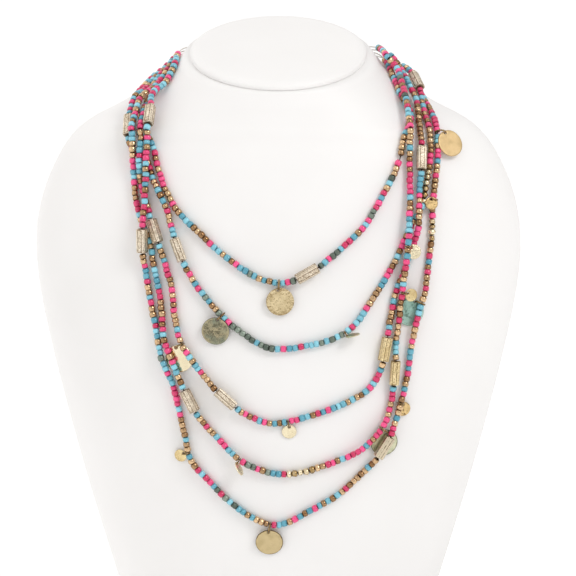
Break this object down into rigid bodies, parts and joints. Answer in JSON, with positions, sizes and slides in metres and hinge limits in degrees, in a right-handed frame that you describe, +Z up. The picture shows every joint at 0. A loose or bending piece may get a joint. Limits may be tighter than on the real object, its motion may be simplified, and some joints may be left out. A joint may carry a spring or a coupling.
{
  "type": "multi strand necklace on a neck bust",
  "caption": "Strands of coloured glass seed beads with metal tube beads, coins and discs on jump rings, worn by a plain white neck bust with an oval cap.",
  "frame": {"origin": "middle of the bust's flat base, under the centre of the neck's width", "axes": "+Z up, the chest faces -Y, +X to the viewer's right"},
  "size_m": [0.3012, 0.1442, 0.4121],
  "materials": {
    "display_white": "plain satin white",
    "seed_beads": "dyed and metallic glass beads in pink, turquoise, bronze and grey-green",
    "antique_gold": "pale antique gold, hammered or engraved",
    "coin_gold": "hammered and brushed gold with patina",
    "ring_bronze": "dark bronze wire",
    "clasp_bronze": "plain antique gold"
  },
  "bodies": {
    "root": {"bust": "display_white", "neck_cap": "display_white", "strand_1": "seed_beads", "strand_2": "seed_beads", "strand_3": "seed_beads", "strand_4": "seed_beads", "strand_5": "seed_beads", "tube_1": "antique_gold", "tube_2": "antique_gold", "tube_3": "antique_gold", "tube_4": "antique_gold", "tube_5": "antique_gold", "tube_6": "antique_gold", "tube_7": "antique_gold", "tube_8": "antique_gold", "tube_9": "antique_gold", "tube_10": "antique_gold", "tube_11": "antique_gold", "tube_12": "antique_gold", "tube_13": "antique_gold", "coin_1": "coin_gold", "coin_2": "coin_gold", "coin_3": "coin_gold", "coin_4": "coin_gold", "coin_5": "coin_gold", "coin_6": "coin_gold", "coin_7": "coin_gold", "disc_1": "coin_gold", "disc_2": "coin_gold", "disc_3": "coin_gold", "disc_4": "coin_gold", "disc_5": "coin_gold", "disc_6": "coin_gold", "disc_7": "coin_gold", "disc_8": "coin_gold", "coin_ring_1": "ring_bronze", "coin_ring_2": "ring_bronze", "coin_ring_3": "ring_bronze", "coin_ring_4": "ring_bronze", "coin_ring_5": "ring_bronze", "coin_ring_6": "ring_bronze", "coin_ring_7": "ring_bronze", "disc_ring_1": "ring_bronze", "disc_ring_2": "ring_bronze", "disc_ring_3": "ring_bronze", "disc_ring_4": "ring_bronze", "disc_ring_5": "ring_bronze", "disc_ring_6": "ring_bronze", "disc_ring_7": "ring_bronze", "disc_ring_8": "ring_bronze", "end_bar_left": "clasp_bronze", "end_bar_right": "clasp_bronze", "clasp_bar": "clasp_bronze"}
  },
  "joints": []
}
